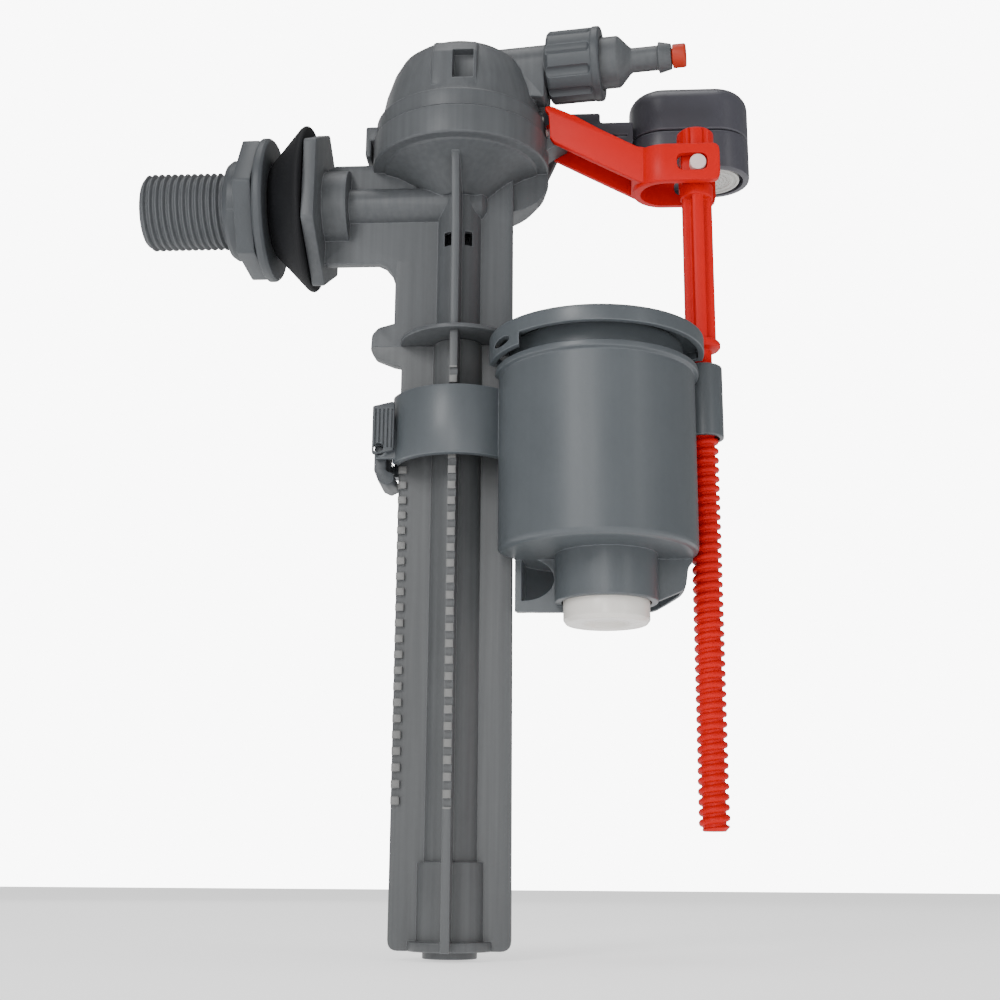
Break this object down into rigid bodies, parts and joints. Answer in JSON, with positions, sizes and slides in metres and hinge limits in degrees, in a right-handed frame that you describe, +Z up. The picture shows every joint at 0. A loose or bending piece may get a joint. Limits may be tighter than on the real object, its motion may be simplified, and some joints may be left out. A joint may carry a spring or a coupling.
{
  "type": "toilet fill valve",
  "caption": "Side-entry cistern fill valve with a diaphragm head, delayed-action bucket float, red lever and screw rod, drain valve and a screwed side nozzle",
  "frame": {"origin": "centre of the hexagonal flange's face, on the shank's axis, where the sealing washer seats against the cistern wall", "axes": "+Z up along the guide column; +X along the inlet shank's axis from the supply end into the cistern; -Y the side that shows the height teeth"},
  "size_m": [0.1672, 0.0676, 0.2453],
  "materials": {
    "grey_plastic": "satin",
    "slate_plastic": "satin",
    "red_plastic": "satin",
    "white_plastic": "gloss",
    "black_rubber": "matt",
    "orange_plastic": "satin",
    "pale_plastic": "satin"
  },
  "bodies": {
    "valve_body": {"main_body": "grey_plastic", "guide_column": "grey_plastic", "inlet_strainer": "white_plastic", "flow_regulator": "black_rubber", "valve_seat": "white_plastic", "diaphragm": "black_rubber", "cap_gasket": "black_rubber", "cone_washer": "black_rubber", "lever_pivot_pin": "white_plastic", "guard_pin": "white_plastic"},
    "washer": {"clamp_washer": "grey_plastic"},
    "nut": {"backnut": "grey_plastic"},
    "plunger": {"valve_plunger": "white_plastic", "plunger_seal": "black_rubber"},
    "cap": {"head_cap": "grey_plastic", "pilot_nozzle": "white_plastic"},
    "nozzle": {"barb_nozzle": "grey_plastic", "nozzle_gasket": "black_rubber", "flow_insert": "orange_plastic"},
    "coupling_nut": {"union_nut": "grey_plastic"},
    "arm": {"lever": "red_plastic", "pilot_pad": "black_rubber"},
    "rod_carrier": {"trunnion": "white_plastic"},
    "rod": {"adjusting_rod": "red_plastic"},
    "float": {"float_lid": "grey_plastic", "float_cup": "grey_plastic"},
    "tub": {"bucket": "grey_plastic", "latch_pin": "white_plastic"},
    "latch": {"height_latch": "grey_plastic"},
    "drain": {"drain_valve": "white_plastic", "drain_seal": "black_rubber"},
    "guard": {"guard_arm": "slate_plastic", "chamber_shell": "slate_plastic", "chamber_lid": "slate_plastic", "chamber_screen": "pale_plastic"}
  },
  "joints": [
    {"name": "washer_travel", "type": "slide", "parent": "valve_body", "child": "washer", "axis": [1, 0, 0], "range_m": [-0.018, 0]},
    {"name": "backnut_spin", "type": "hinge", "parent": "washer", "child": "nut", "pos_m": [-0.016, 0, 0], "axis": [1, 0, 0], "range_deg": [-3600, 20]},
    {"name": "lever_pivot", "type": "hinge", "parent": "valve_body", "child": "arm", "pos_m": [0.067, 0, 0.0205], "axis": [0, -1, 0], "range_deg": [0, 10.3]},
    {"name": "rod_lift", "type": "slide", "parent": "valve_body", "child": "rod_carrier", "axis": [0, 0, 1], "range_m": [0, 0.0066]},
    {"name": "plunger_travel", "type": "slide", "parent": "valve_body", "child": "plunger", "axis": [0, 0, -1], "range_m": [0, 0.0011]},
    {"name": "bucket_height", "type": "slide", "parent": "valve_body", "child": "tub", "axis": [0, 0, 1], "range_m": [-0.076, 0]},
    {"name": "float_height", "type": "slide", "parent": "rod_carrier", "child": "float", "axis": [0, 0, 1], "range_m": [-0.0765, 0]},
    {"name": "rod_spin", "type": "hinge", "parent": "rod_carrier", "child": "rod", "pos_m": [0.104, 0, 0], "axis": [0, 0, 1], "range_deg": [-20, 11000]},
    {"name": "latch_press", "type": "hinge", "parent": "tub", "child": "latch", "pos_m": [0.0209, 0, -0.0714], "axis": [0, 1, 0], "range_deg": [0, 4], "stiffness_Nm_per_rad": 0.05},
    {"name": "drain_lift", "type": "slide", "parent": "tub", "child": "drain", "axis": [0, 0, 1], "range_m": [0, 0.002]},
    {"name": "cap_bayonet", "type": "hinge", "parent": "valve_body", "child": "cap", "pos_m": [0.04, 0, 0.03], "axis": [0, 0, -1], "range_deg": [0, 20]},
    {"name": "nozzle_pull", "type": "slide", "parent": "cap", "child": "nozzle", "axis": [0.9903, -0.1392, 0], "range_m": [0, 0.003]},
    {"name": "union_nut_spin", "type": "hinge", "parent": "nozzle", "child": "coupling_nut", "pos_m": [0.07169, -0.00445, 0.0393], "axis": [0.9903, -0.1392, 0], "range_deg": [-10, 730]},
    {"name": "guard_lift", "type": "hinge", "parent": "valve_body", "child": "guard", "pos_m": [0.0635, 0.016, 0.029], "axis": [0, -1, 0], "range_deg": [0, 6]}
  ],
  "couplings": [
    {"joint": "backnut_spin", "follows": "washer_travel", "rad_per_m": 3463.7},
    {"joint": "lever_pivot", "follows": "rod_lift", "rad_per_m": 26.88},
    {"joint": "plunger_travel", "follows": "rod_lift", "ratio": 0.134},
    {"joint": "float_height", "follows": "bucket_height", "ratio": 1},
    {"joint": "rod_spin", "follows": "bucket_height", "rad_per_m": -2513.3},
    {"joint": "union_nut_spin", "follows": "nozzle_pull", "rad_per_m": 4188.8}
  ]
}
